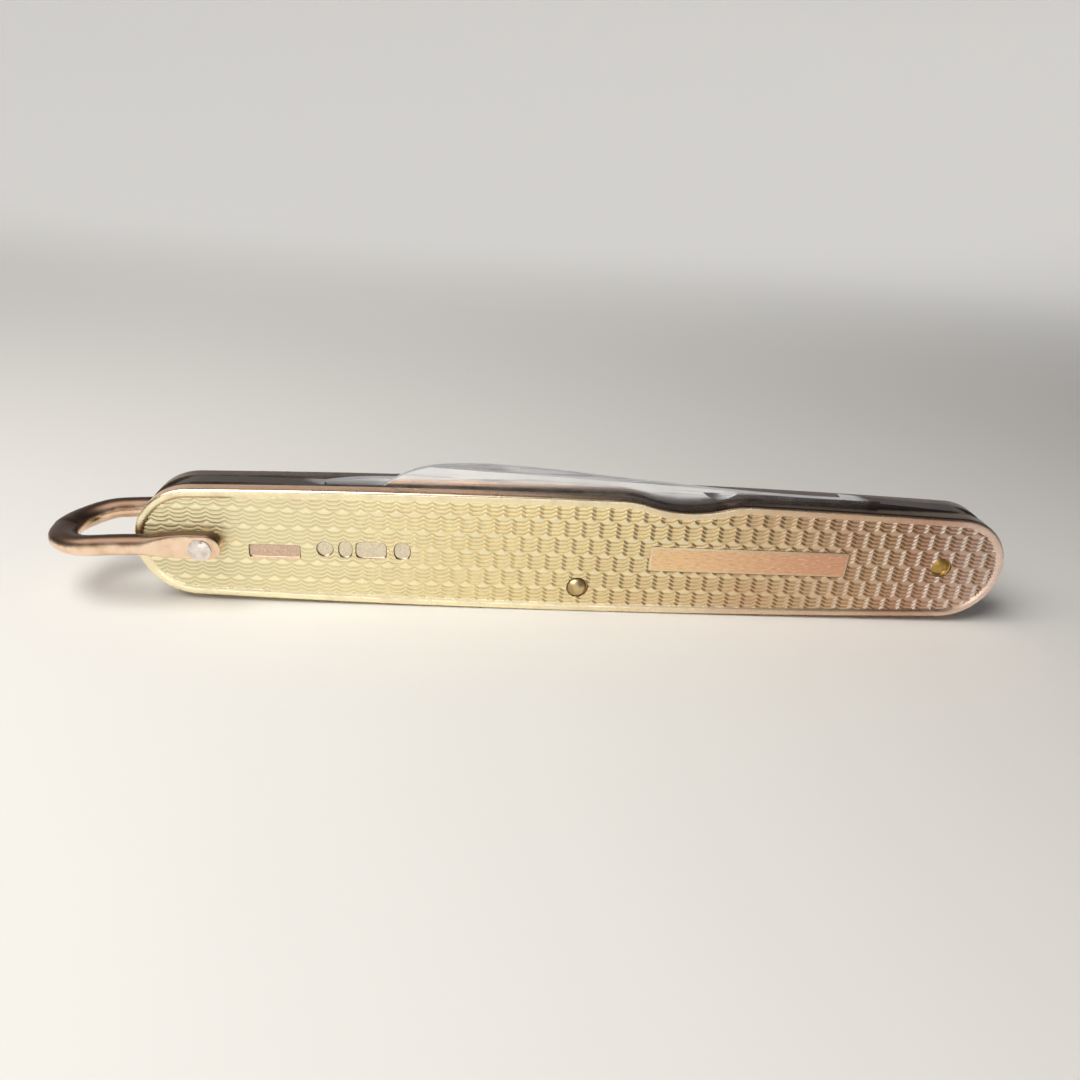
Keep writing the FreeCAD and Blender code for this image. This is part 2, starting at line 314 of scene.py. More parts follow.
# %% Turned gold
plateau_highlight_gold = (1.0, 0.91, 0.62)
left_flank_highlight_gold = (1.0, 0.90, 0.80)
tarnish = (0.42, 0.27, 0.14)
flank_shade_brown = (0.30, 0.18, 0.09)
cut_depth = 0.06
ridge_depth = 0.02


def turned_gold():
    gold = Finish("turned_gold")
    rosy_shaded = rosy_shade_share(gold)
    colour = gold.blend(gold.between("X", -30, 2), pale_gold, clean_gold)
    tip = gold.between("X", 34, 43)
    # Towards the main pivot the gold turns rosy, its own tone, and darker, which is painted shade.
    colour = gold.blend(rosy_shaded, colour, gold.blend(tip * 0.7, rosy_shaded_gold, rosy_tip))
    # The uncut flats just under the field's face are painted brighter: a painted highlight.
    plateau_highlight = near_face(gold, 0.015, 0.003)
    colour = gold.blend(plateau_highlight * (1 - rosy_shaded), colour, plateau_highlight_gold)
    ridge = near_face(gold, cut_depth, ridge_depth)
    chafed = gold.between("X", -12, -26)
    dirt = (1 - ridge) * gold.fade(gold.grain(900, 900, 900), 0.25, 0.8)
    colour = gold.blend(dirt * (0.6 - 0.45 * chafed), colour, tarnish)
    flank = gold.facing("X") * gold.facing("Z")
    # Walls that face right and up, and a little those that face down, are painted brown from the middle to
    # the main pivot: painted shade.
    right_flank_shade = gold.fade(flank, 0.006, 0.03)
    downward_shade = gold.fade(gold.facing("Z"), -0.1, -0.35)
    wear_and_shade_mask = gold.between("X", -16, 14)
    colour = gold.blend((0.7 * right_flank_shade + 0.3 * downward_shade) * wear_and_shade_mask, colour, flank_shade_brown)
    # Near the main pivot the walls where that product is negative are painted almost white: a painted
    # highlight.
    left_flank_highlight = gold.fade(flank, -0.008, -0.03) * gold.between("X", 18, 42)
    colour = gold.blend(left_flank_highlight, colour, left_flank_highlight_gold)
    rubbed = gold.grain(5200, 5200, 5200, 2.0)
    roughness = 0.16 + 0.10 * rubbed + 0.16 * (1 - ridge) + 0.28 * chafed
    return gold.surface(colour, roughness, gold.raised(rubbed, 0.003))


turned = turned_gold()

# %% [markdown]
# ## The rim's gold
# The rim of each cover is the same gold without the cuts, burnished, with fine scratches that run
# along it. Its face is painted pale, a painted highlight; towards the main pivot it turns rosy, its own
# tone, and darker, a painted shade, and at the very end it is painted pale again, a painted highlight.
# Its upper side is painted coppery and darker than the face, a painted shade, and beside the thumb
# notch and behind it, on the back cover, it is darkened almost to black. One noise and the way that a
# face looks are enough for that. The edge of that darkening runs aslant across the two covers.

# %% Rim gold
rim_front_highlight = (1.0, 0.90, 0.62)
rim_upper_shade = (1.0, 0.67, 0.46)
rim_rosy_shaded = (0.64, 0.38, 0.27)
rim_end_highlight = (0.98, 0.76, 0.65)
rim_worn = (0.62, 0.41, 0.27)
upper_face_dark = (0.07, 0.045, 0.03)
upper_darkening_slant = 12


def rim_gold():
    gold = Finish("rim_gold")
    # Upper faces are painted coppery and darker, a painted shade, and front faces pale, a painted
    # highlight.
    upward = gold.fade(gold.facing("Z"), 0.5, 0.9)
    colour = gold.blend(upward, rim_front_highlight, rim_upper_shade)
    # Towards the main pivot the rim turns rosy, its own tone, and darker, a painted shade; at the very end
    # it is painted pale, a painted highlight.
    rosy_shaded = gold.blend(gold.between("X", 36, 44.5), rim_rosy_shaded, rim_end_highlight)
    colour = gold.blend(rosy_shade_share(gold), colour, rosy_shaded)
    wear_and_shade_mask = gold.fade(gold.grain(700, 700, 700), 0.45, 0.75)
    colour = gold.blend(wear_and_shade_mask * 0.3, colour, rim_worn)
    # Upper faces beside the thumb notch and along the back cover are darkened almost to black.
    aslant = gold.along("X") + upper_darkening_slant * gold.along("Y")
    upper_darkening = upward * gold.fade(aslant, -32 * MM, -12 * MM)
    colour = gold.blend(upper_darkening * 0.92, colour, upper_face_dark)
    scratches = gold.grain(420, 14000, 14000)
    roughness = 0.20 + 0.14 * scratches + 0.10 * wear_and_shade_mask
    return gold.surface(colour, roughness, gold.raised(scratches, 0.004))


rim = rim_gold()

# %% [markdown]
# ## The gold of the panel and the marks
# The panel was rubbed down by hand, so its scratches cross at a low angle: one noise is stretched
# along the panel and one leans. The marks are blank punched shapes. Their floors are dull and speckled
# from the punch, the first one darker than the others, and their walls are dark.

# %% Panel gold
panel_yellow = (1.0, 0.69, 0.38)
panel_rosy_shaded = (0.82, 0.43, 0.27)
panel_bright = (1.0, 0.82, 0.64)
panel_brown = (0.66, 0.38, 0.22)
stroke_lean = 0.6


def panel_gold():
    gold = Finish("panel_gold")
    rubbed = gold.grain(1600, 7000, 7000, 4.0, stroke_lean)
    brushed = gold.grain(500, 11000, 11000)
    # Towards the main pivot the panel turns rosy, its own tone, and darker, a painted shade.
    colour = gold.blend(gold.between("X", 10, 30), panel_yellow, panel_rosy_shaded)
    colour = gold.blend(gold.fade(rubbed, 0.5, 0.7) * 0.5, colour, panel_bright)
    colour = gold.blend(gold.fade(rubbed, 0.5, 0.3) * 0.5, colour, panel_brown)
    return gold.surface(colour, 0.26 + 0.16 * brushed, gold.raised(rubbed + brushed, 0.02))


plain_panel = panel_gold()

# %% Punched gold
mark_floor = 2.22
wall_foot = 0.05
first_floor = ((0.60, 0.42, 0.31), (0.78, 0.60, 0.47))
other_floors = ((0.72, 0.62, 0.46), (0.88, 0.80, 0.62))
wall_brown = (0.24, 0.15, 0.11)


def punched_gold():
    gold = Finish("punched_gold")
    speckle = gold.grain(6000, 6000, 6000)
    specks = gold.fade(speckle, 0.3, 0.7)
    after_first = gold.between("X", -21.7, -21.0)
    colour = gold.blend(after_first, gold.blend(specks, *first_floor), gold.blend(specks, *other_floors))
    wall = gold.fade(abs(gold.along("Y")), mark_floor * MM, (mark_floor + wall_foot) * MM)
    colour = gold.blend(wall, colour, wall_brown)
    return gold.surface(colour, 0.26 + 0.12 * speckle, gold.raised(speckle, 0.004))


punched = punched_gold()

# %% [markdown]
# ## The handle's outline
# Both covers share one outline: two round ends, two long sides with a slight bulge, and a thumb
# notch that flows into the side on two soft arcs. All of it is arcs, so moving the outline inwards
# only changes their radii. Keeping the outward direction with each point makes that one subtraction.

# %% Arcs
def swing(centre, radius, start, stop, steps):
    """Points and outward directions along an arc; angles count from up, towards +X."""
    found = []
    for step in range(steps):
        angle = start + (stop - start) * step / steps
        out = Vector((math.sin(angle), math.cos(angle)))
        found.append((centre + radius * out, out))
    return found


def heading(start, stop):
    """The angle of the way from one point to another."""
    way = stop - start
    return math.atan2(way.x, way.y)


print("straight up is at", heading(Vector((0, 0)), Vector((0, 1))))

# %% Outline
middle = handle_height / 2
notch_place = 9.4
notch_depth = 0.95
notch_radius = 13.0
notch_blend = 9.0


def outline(side):
    """The cover's outline, from the left end of its top side to the right and back below."""
    end_place = handle_length / 2 - end_radius
    side_radius = (end_place**2 + middle**2 - end_radius**2) / (2 * (middle - end_radius))
    lean = math.asin(end_place / (side_radius - end_radius))
    above = Vector((0, handle_height - side_radius))
    below = Vector((0, side_radius))
    scoop = Vector((-side * notch_place, handle_height - notch_depth + notch_radius))
    inner, outer = side_radius - notch_blend, notch_radius + notch_blend
    apart = (scoop - above).length
    share = (inner**2 - outer**2 + apart**2) / (2 * apart)
    out = (scoop - above) / apart
    across = Vector((out.y, -out.x)) * math.sqrt(inner**2 - share**2)
    left, right = above + share * out - across, above + share * out + across
    # The last number of each arc is how many points it has.
    points = swing(above, side_radius, -lean, heading(above, left), 90)
    points += swing(left, notch_blend, heading(above, left), heading(left, scoop), 14)
    points += swing(scoop, -notch_radius, heading(left, scoop), heading(right, scoop), 30)
    points += swing(right, notch_blend, heading(right, scoop), heading(above, right), 14)
    points += swing(above, side_radius, heading(above, right), lean, 60)
    points += swing(Vector((end_place, middle)), end_radius, lean, math.pi - lean, 72)
    points += swing(below, side_radius, math.pi - lean, math.pi + lean, 120)
    points += swing(Vector((-end_place, middle)), end_radius, math.pi + lean, 2 * math.pi - lean, 72)
    return points


print("outline has", len(outline(FRONT)), "points")

# %% [markdown]
# ## The turned field
# On the real cover a turning engine cuts shallow V lines side by side. Four lines make a row, and
# each line steps up into a small peak once in every pitch. The next row is shifted by half a pitch,
# which gives the look of brickwork, and the wider gap between rows leaves bright triangles. A bump
# map can't hold such sharp ridges, so the grid of the mesh follows the cuts: three rows of points to
# each line, one in the groove and one on each lip.

# %% Cut lines
pitch = 1.615
row_height = 1.748
line_gap = 0.40
lines_in_row = 4
row_gap = row_height - (lines_in_row - 1) * line_gap
lowest_row, highest_row = 6, -2
first_peak = -32.03
top_row_base = 9.41
peak_height = 0.26
peak_share = 0.58
straight_share = 0.8


def peak(x, row):
    """How far a line of this row is pushed up at x; the flanks are straight with a little rounding."""
    turn = (x - first_peak) / pitch + 0.5 * (row % 2)
    away = abs((turn + 0.5) % 1 - 0.5) / (peak_share / 2)
    rise = max(0.0, 1 - away)
    rounded = rise * rise * (3 - 2 * rise)
    return peak_height * (straight_share * rise + (1 - straight_share) * rounded)


def cut_lines(x):
    """The heights of all cut lines at x, from the lowest to the highest."""
    heights = []
    for row in range(lowest_row, highest_row - 1, -1):
        base = top_row_base - row * row_height + peak(x, row)
        heights += [base + row_gap / 2 + line * line_gap for line in range(lines_in_row)]
    return heights


print(len(cut_lines(0.0)), "cut lines from edge to edge and past them")

# %% Turned field
lip_reach = 0.19
ridge_half = 0.01
field_margin = 1.2
end_margin = 0.5
columns_in_pitch = 16


def cut_profile(x):
    """Height and depth of each point of the grid's column at x."""
    lines = cut_lines(x)
    profile = [(lines[0] - field_margin, 0.0)]
    for place, line in enumerate(lines):
        below = (line - lines[place - 1]) / 2 - ridge_half if place else lip_reach
        above = (lines[place + 1] - line) / 2 - ridge_half if place + 1 < len(lines) else lip_reach
        below, above = min(below, lip_reach), min(above, lip_reach)
        profile.append((line - below, -cut_depth * (1 - below / lip_reach)))
        profile.append((line, -cut_depth))
        profile.append((line + above, -cut_depth * (1 - above / lip_reach)))
    profile.append((lines[-1] + field_margin, 0.0))
    return profile


def turned_field(side):
    """A slab whose outer face carries the cuts."""
    step = pitch / columns_in_pitch
    count = int((handle_length + 2 * end_margin) / step)
    before = int((handle_length / 2 + first_peak + end_margin) / step)
    points = []
    for column in range(count):
        x = first_peak + step * (column - before)
        profile = cut_profile(x)
        points += [(x, side * (field_face + depth), z) for z, depth in profile]
        points += [(x, side * pan_floor, profile[-1][0]), (x, side * pan_floor, profile[0][0])]
    return closed_mesh("turned_field", points, ring_faces(count, len(profile) + 2), TURNED)


print("a column of the field has", len(cut_profile(0.0)), "points")

# %% [markdown]
# ## The rim
# A cover's rim stands a little over the field. Its outer edge was pressed round with a burnisher, and
# inside a narrow flat it slopes down under the field. A bevel modifier would round every edge of the
# cover alike, so the rim gets a section of its own, which is carried round the outline.

# %% Rim
rim_round = 0.30
rim_flat = 0.45
rim_foot = 1.05
rim_drop = 0.20
foot_face = 2.12


def smooth_step(value, start, stop):
    """Goes smoothly from 0 to 1 between two values."""
    share = min(1.0, max(0.0, (value - start) / (stop - start)))
    return share * share * (3 - 2 * share)


def rim_profile(round_steps=6, slope_steps=8):
    """Inset and face round the rim's section: its wall, rounded edge, flat, slope and foot."""
    corners = [(rim_flat, liner_face), (0.0, liner_face)]
    for step in range(round_steps + 1):
        angle = math.pi / 2 * step / round_steps
        face = cover_face - rim_round * (1 - math.sin(angle))
        corners.append((rim_round * (1 - math.cos(angle)), face))
    for step in range(slope_steps + 1):
        inset = rim_flat + (rim_foot - rim_flat) * step / slope_steps
        corners.append((inset, cover_face - rim_drop * smooth_step(inset, rim_flat, rim_foot)))
    return corners + [(rim_foot, foot_face), (rim_flat, foot_face)]


def carried_round(name, side, profile, finish_index):
    """A closed section of inset and face, carried round the outline."""
    points = []
    path = outline(side)
    for place, out in path:
        for inset, face in profile:
            at = place - inset * out
            points.append((at.x, side * face, at.y))
    faces = ring_faces(len(path), len(profile), endless=True)
    return closed_mesh(name, points, faces, finish_index)


print("rim section has", len(rim_profile()), "corners")

# %% [markdown]
# ## Loops and lathe shapes
# What is left of a cover is flat or round. A flat tool is a solid between two loops, and a pin or its
# hole is a profile turned about an axis, as on a lathe. Both come out closed, so the boolean can use
# them at once.

# %% Solids from loops and profiles
def squared(angle, squareness):
    """A point on an oval, at squareness 2, that nears a rectangle as the squareness grows."""
    across, up = math.cos(angle), math.sin(angle)
    across = math.copysign(abs(across) ** (2 / squareness), across)
    return across, math.copysign(abs(up) ** (2 / squareness), up)


def rounded_loop(x, z, half_width, half_height, squareness, grow=0.0, steps=64):
    """A loop between an oval and a rectangle, in X and Z."""
    loop = []
    for step in range(steps):
        across, up = squared(2 * math.pi * step / steps, squareness)
        loop.append((x + (half_width + grow) * across, z + (half_height + grow) * up))
    return loop


def prism(name, low_loop, low, high_loop, high, finish_index=TURNED):
    """A closed mesh between two loops of as many points, given in X and Z, at two places along Y."""
    points = [(x, low, z) for x, z in low_loop] + [(x, high, z) for x, z in high_loop]
    return closed_mesh(name, points, ring_faces(2, len(low_loop)), finish_index)


def turned_solid(name, x, z, profile, finish_index=0, steps=64):
    """Radius and place along Y, turned about a pin's axis; the profile starts and ends on the axis."""
    points = [(x, profile[0][1], z), (x, profile[-1][1], z)]
    rings = profile[1:-1]
    for radius, y in rings:
        for step in range(steps):
            angle = 2 * math.pi * step / steps
            points.append((x + radius * math.cos(angle), y, z + radius * math.sin(angle)))
    faces = []
    last = 2 + (len(rings) - 1) * steps
    for step in range(steps):
        after = (step + 1) % steps
        faces.append((0, 2 + after, 2 + step))
        faces.append((1, last + step, last + after))
        for ring in range(len(rings) - 1):
            low = 2 + ring * steps
            faces.append((low + step, low + after, low + steps + after, low + steps + step))
    return closed_mesh(name, points, faces, finish_index)


print("a loop has", len(rounded_loop(0, 0, 1, 1, 2)), "points")

# %% [markdown]
# ## Marks and panel
# The front cover carries a row of small punched shapes near the bail and a plain panel near the main
# pivot. A punch leaves walls that lean outward, so its tool is wider at the face. The panel is a plate
# in a fine cut border, with a narrow bevel round its face. It is joined from three solids, each given
# by how far it grows past the panel's outline and by its face, first at the back and then in front.

# %% Blank marks
mark_height = 5.75
mark_taper = 0.16
mark_lip = 0.08
mark_top = 2.55
blank_marks = [
    (-28.6, 5.35, 2.4, 0.75, 10.0),
    (-24.05, mark_height, 0.85, 0.85, 2.0),
    (-22.2, mark_height, 0.72, 0.92, 2.6),
    (-19.85, mark_height, 1.5, 0.92, 5.0),
    (-17.0, mark_height, 0.85, 0.95, 2.6),
]


def punch(piece, mark):
    """Cuts one mark: its place, half width, half height and squareness."""
    floor, lip = rounded_loop(*mark, -mark_taper), rounded_loop(*mark, mark_lip)
    combine(piece, prism("punch", floor, -mark_floor, lip, -mark_top, PUNCHED), "DIFFERENCE")


print(len(blank_marks), "blank marks")

# %% Panel
panel_place = 15.8
panel_length = 19.1
panel_height = 2.4
panel_face = 2.43
panel_squareness = 40.0
panel_solids = {
    "border": (0.10, 2.27, 0.16, 2.7, TURNED),
    "plate": (0.06, 2.2, 0.06, 2.36, RIM),
    "edge": (0.06, 2.355, -0.12, panel_face - 0.003, RIM),
    "face": (-0.11, 2.38, -0.13, panel_face, PANEL),
}


def panel_solid(name):
    back_grow, back, front_grow, front, finish_index = panel_solids[name]
    shape = (panel_place, middle, panel_length / 2, panel_height / 2, panel_squareness)
    back_loop, front_loop = rounded_loop(*shape, back_grow), rounded_loop(*shape, front_grow)
    return prism(name, back_loop, -back, front_loop, -front, finish_index)


def add_panel(piece):
    """Cuts the border and sets the plain panel in it."""
    combine(piece, panel_solid("border"), "DIFFERENCE")
    plate = panel_solid("plate")
    combine(plate, panel_solid("edge"), "UNION")
    combine(plate, panel_solid("face"), "UNION")
    combine(piece, plate, "UNION")


print("panel", panel_length, "by", panel_height, "mm")

# %% [markdown]
# ## Covers
# A cover is made the way the goldsmith's parts fit: the turned field is cut to the outline, the marks
# and the panel go into the front one, and the burnished rim is wrapped round it. The pins' holes are
# cut last, each with a small flare where the metal was dressed round the pin.

# %% Pin holes
outside = 2.8
hole_back = 1.0
flare_depth = 0.2
flare_rise = 0.02
spring_pin_place = (-0.45, 2.6)
pin_holes = [
    (pivot_place, pivot_height, 0.95, 0.06),
    (*spring_pin_place, 0.96, 0.10),
    (-pivot_place, pivot_height, 0.87, 0.05),
]


def pin_hole(side, x, z, radius, flare):
    """A tool for a hole through the cover that opens out a little at the face."""
    profile = [(0, hole_back), (radius, hole_back), (radius, field_face - flare_depth)]
    profile += [(radius + flare, field_face + flare_rise), (radius + flare, outside), (0, outside)]
    return turned_solid("hole", x, z, [(r, side * y) for r, y in profile], PUNCHED)


print(len(pin_holes), "holes in each cover")

# %% Front and back covers
field_inset = 0.72
field_back = 1.9
cover_sharp = 22


def make_cover(node, side):
    """A cover with its field, rim and holes."""
    piece = turned_field(side)
    piece.name = node + "_turned"
    loop = [place - field_inset * out for place, out in outline(side)]
    loop = [(at.x, at.y) for at in loop]
    combine(piece, prism("blank", loop, side * field_back, loop, side * outside), "INTERSECT")
    if side == FRONT:
        for mark in blank_marks:
            punch(piece, mark)
        add_panel(piece)
    combine(piece, carried_round("rim", side, rim_profile(), RIM), "UNION")
    for hole in pin_holes:
        combine(piece, pin_hole(side, *hole), "DIFFERENCE")
    settle(piece, cover_sharp, turned, rim, plain_panel, punched)
    stand_in(piece, node, "handle")


make_cover("front_cover", FRONT)
make_cover("back_cover", BACK)

# %% [markdown]
# ## Blades
# The blades keep their CAD shapes, which are right as they are. They are glazed almost to a mirror,
# with fine lines from the wheel along them and a few dull grey clouds. The part that lies deep in the
# well is painted grey, a painted shade, the tangs are painted dark, also a painted shade, the sloped
# faces round the nail nicks are darkened, and the near face of the second blade's back has a pale grey
# bloom. One finish serves both blades, because each of these masks comes from a place on the knife.

# %% Blade polish
blade_bright = (0.95, 0.95, 0.96)
cloud_grey = (0.68, 0.69, 0.74)
wheel_grey = (0.42, 0.43, 0.49)
well_shade_grey = (0.36, 0.37, 0.40)
tang_shade_dark = (0.16, 0.14, 0.13)
nick_darkening = (0.22, 0.21, 0.21)
nick_place = 12.4


def dress(finish, *nodes):
    """Puts a finish on CAD pieces that keep their shape."""
    for node in nodes:
        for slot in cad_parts[node].material_slots:
            slot.material = finish
    print("dressed", ", ".join(nodes), "in", finish.name)


def blade_polish():
    steel = Finish("blade_polish")
    wheel = steel.grain(160, 9000, 5200)
    clouds = steel.fade(steel.grain(180, 180, 180, 4.0), 0.4, 0.75)
    colour = steel.blend(clouds * 0.5, blade_bright, cloud_grey)
    colour = steel.blend(steel.fade(wheel, 0.5, 0.72) * 0.7, colour, wheel_grey)
    # The part deep in the well is painted grey: painted shade.
    well_shade = steel.fade(steel.along("Z") + MM * wheel, 12.7 * MM, 11.5 * MM)
    colour = steel.blend(well_shade * 0.8, colour, well_shade_grey)
    from_middle = abs(steel.along("X") - middle_place * MM) + 3 * MM * clouds
    # The tangs are painted dark: painted shade.
    tang_shade = steel.fade(from_middle, 25.5 * MM, 27.5 * MM)
    colour = steel.blend(tang_shade, colour, tang_shade_dark)
    # Sloped faces near the nail nicks are darkened.
    near_nick = steel.fade(abs(from_middle - nick_place * MM), 5.5 * MM, 3.5 * MM)
    across = abs(steel.facing("Y"))
    sloped = steel.fade(across, 0.995, 0.96) * steel.fade(across, 0.1, 0.3)
    colour = steel.blend(near_nick * sloped * 0.35, colour, nick_darkening)
    bloom = steel.fade(steel.facing("Y"), -0.9, -0.97) * (1 - tang_shade)
    bloom = bloom * steel.between("Z", 10.5, 11.5) * steel.between("Y", -0.3, -0.1)
    satin = steel.fade(steel.facing("Z"), 0.2, 0.5)
    roughness = 0.10 + 0.10 * wheel + 0.10 * clouds + 0.15 * (tang_shade + satin + well_shade)
    return steel.surface(colour, roughness, steel.raised(wheel, 0.006), Metallic=1 - 0.9 * bloom)


dress(blade_polish(), "main_blade", "second_blade")

# %% [markdown]
# ## Liners, spring and cores
# These keep their CAD shapes too. The spring and the liners are ground along their length, and the
# liners are painted almost black, a painted shade. The cores are plain rolled brass that hardly shows.
# They differ only in colour and shine, so one finish is made three times.

# %% Ground metals
def ground_metal(name, bright, dull, shine):
    """Metal that was ground along the handle, with dull patches."""
    metal = Finish(name)
    strokes = metal.grain(300, 12000, 12000)
    patches = metal.fade(metal.grain(500, 500, 500, 4.0), 0.4, 0.7)
    colour = metal.blend(patches, bright, dull)
    roughness = shine + 0.16 * strokes + 0.10 * patches
    return metal.surface(colour, roughness, metal.raised(strokes, 0.005))


# The liners are painted almost black: painted shade.
liner_shade_brass = ground_metal("liner_brass", (0.16, 0.11, 0.08), (0.06, 0.045, 0.035), 0.35)
ground_steel = ground_metal("spring_steel", (0.56, 0.56, 0.57), (0.33, 0.32, 0.32), 0.18)
rolled_brass = ground_metal("core_brass", (0.72, 0.55, 0.28), (0.48, 0.35, 0.18), 0.28)
dress(liner_shade_brass, "front_liner", "back_liner")
dress(ground_steel, "back_spring")
dress(rolled_brass, "front_core", "back_core")

# %% [markdown]
# ## Pins
# Three pins hold the knife together. The one at the main pivot is brass and was filed flush, so it
# lies a little under the field. The one through the spring was left as a low dome, a little off its
# hole. The pin at the bail is steel with a round head on each side. A lathe shape fits all three: a
# profile turned about the pin's axis. The marks of the hammer are small, so they stay in the finish.

# %% Pin shapes
pin_sharp = 35
pin_foot = 2.0


def peened(name, bright, dull, shine):
    """Metal that was spread with a small hammer and then polished by pockets."""
    metal = Finish(name)
    blows = metal.grain(2600, 2600, 2600, 2.0)
    patches = metal.fade(metal.grain(1100, 1100, 1100), 0.4, 0.7)
    colour = metal.blend(patches, bright, dull)
    return metal.surface(colour, shine + 0.16 * patches, metal.raised(blows, 0.03))


def domed_end(radius, seat, rise, steps=9):
    """A low round cap, from its top down to its edge."""
    ball = (radius**2 + rise**2) / (2 * rise)
    widest = math.asin(radius / ball)
    angles = [widest * step / steps for step in range(steps + 1)]
    return [(ball * math.sin(a), seat + rise - ball * (1 - math.cos(a))) for a in angles]


def lathe_pin(node, x, z, half_profile, finish):
    """A pin with the same end on both sides; the profile runs from the axis at the end inwards."""
    profile = [(r, -y) for r, y in half_profile] + [(r, y) for r, y in reversed(half_profile)]
    piece = turned_solid(node + "_turned", x, z, profile)
    settle(piece, pin_sharp, finish)
    return piece


print("a dome has", len(domed_end(1.0, 0.0, 0.2)), "rings")

# %% Three pins
flush_radius = 0.9
dome_radius = 0.91
dome_place = (spring_pin_place[0] - 0.07, spring_pin_place[1] - 0.05)
pin_brass = peened("pin_brass", (0.55, 0.36, 0.10), (0.36, 0.22, 0.07), 0.3)
pin_gold = peened("pin_gold", (0.68, 0.54, 0.30), (0.48, 0.36, 0.18), 0.4)
pin_steel = peened("pin_steel", (0.88, 0.82, 0.77), (0.70, 0.63, 0.58), 0.24)
flush_end = domed_end(flush_radius, 2.08, 0.22) + [(flush_radius, pin_foot)]
dome_end = domed_end(dome_radius, 2.26, 0.54) + [(dome_radius, pin_foot)]
bail_end = domed_end(1.02, 4.08, 0.26) + [(1.02, 4.045), (0.8, 4.04)]

main_pin = lathe_pin("main_pivot_pin", pivot_place, pivot_height, flush_end, pin_brass)
stand_in(main_pin, "main_pivot_pin", "handle")
spring_pin = lathe_pin("spring_pin", *dome_place, dome_end, pin_gold)
stand_in(spring_pin, "spring_pin", "handle")
bail_pin = lathe_pin("bail_pin", -pivot_place, pivot_height, bail_end, pin_steel)
stand_in(bail_pin, "bail_pin", "bail_pin")

# %% [markdown]
# ## Bail
# The bail is a bent wire: round and thick in the bow, thin at the necks, and hammered flat into an
# eye at each end. A curve with a bevel has one section all along, so it can't give that. Sections set
# out along a U and skinned give all of it in one mesh. The inner and the outer line of the U give the
# width of each section, and the side view gives its height. The real bail has been bent a little in
# use, so its bow hangs and its far leg stands up. Spans are given as distances from the eye.

# %% Bail lines
bail_reach = 14.4
bail_inner = 2.7
bail_outer = 4.55
eye_outer = 4.0
eye_length = 1.8
bow_thickness = 2.6
leg_share = 0.36
splay_span = (1.6, 5.4)


def bail_line(share):
    """Inner and outer point of the U, seen from above, at a share of its length."""
    tip = -pivot_place - bail_reach
    outer_bow, inner_bow = tip + bail_outer, tip + bow_thickness + bail_inner
    if leg_share < share < 1 - leg_share:
        angle = math.pi * (share - leg_share) / (1 - 2 * leg_share)
        across, back = -math.cos(angle), -math.sin(angle)
        inner = Vector((inner_bow + bail_inner * back, bail_inner * across))
        return inner, Vector((outer_bow + bail_outer * back, bail_outer * across))
    side = FRONT if share < 0.5 else BACK
    start = -pivot_place + eye_length
    run = min(share, 1 - share) / leg_share
    run = run * run * (2 - run)
    outer_x = start + (outer_bow - start) * run
    splay = smooth_step(-pivot_place - outer_x, *splay_span)
    outer = Vector((outer_x, side * (eye_outer + (bail_outer - eye_outer) * splay)))
    return Vector((start + (inner_bow - start) * run, side * bail_inner)), outer


inner_tip, outer_tip = bail_line(0.5)
print("the bow is", round((inner_tip - outer_tip).length, 2), "mm thick")

# %% Bail sections
eye_half = 1.22
wire_half = 0.95
thinnest = 0.02
neck_span = (0.6, 5.0)
rounding_span = (1.6, 4.8)
eye_squareness, wire_squareness = 6.0, 2.0
eye_lift = 0.21
bow_droop = 0.53
droop_span = (5.0, 14.0)
far_rise = 0.52
rise_span = (1.0, 6.0)
fall_span = (9.0, 14.4)


def bail_section(share):
    """The U's two lines, half height, squareness and lift at a share of its length."""
    inner, outer = bail_line(share)
    from_eye = -pivot_place - (inner.x + outer.x) / 2
    past = max(0.0, -from_eye - (eye_length - eye_half)) / eye_half
    half = eye_half * math.sqrt(max(0.0, 1 - past * past))
    half += (wire_half - half) * smooth_step(from_eye, *neck_span)
    flat = 1 - smooth_step(from_eye, *rounding_span)
    squareness = wire_squareness + (eye_squareness - wire_squareness) * flat
    lift = eye_lift - bow_droop * smooth_step(from_eye, *droop_span)
    if share > 0.5:
        lift += far_rise * smooth_step(from_eye, *rise_span) * (1 - smooth_step(from_eye, *fall_span))
    return inner, outer, max(half, thinnest), squareness, lift


print("the bow lies", round(bail_section(0.5)[-1], 2), "mm from the pin's height")

# %% Bail mesh
bail_steps = 200
points_around = 28
first_share, share_span = 0.0005, 0.999
bail_hole = 0.84
drill_reach = 5
bail_sharp = 40


def bail_mesh():
    """The bent wire with its eyes still closed."""
    points = []
    for station in range(bail_steps + 1):
        share = first_share + share_span * station / bail_steps
        inner, outer, half, squareness, lift = bail_section(share)
        centre, reach = (inner + outer) / 2, (outer - inner) / 2
        for step in range(points_around):
            wide, up = squared(2 * math.pi * step / points_around, squareness)
            at = centre + reach * wide
            points.append((at.x, at.y, pivot_height + lift + half * up))
    return closed_mesh("bail_bent", points, ring_faces(bail_steps + 1, points_around))


bail_bent = bail_mesh()
drill = [(0, -drill_reach), (bail_hole, -drill_reach), (bail_hole, drill_reach), (0, drill_reach)]
combine(bail_bent, turned_solid("eye_hole", -pivot_place, pivot_height, drill), "DIFFERENCE")

# %% [markdown]
# ## The bail's gold
# The bail is of a rosier gold than the covers. Its upper side is painted dark brown, a painted shade,
# so the finish asks how far a face looks up, and a little noise keeps the edge of that painted shade
# from being too straight.

# %% Bail gold
bail_bright = (0.97, 0.74, 0.55)
bail_rubbed = (0.84, 0.58, 0.40)
bail_top_shade = (0.08, 0.045, 0.03)


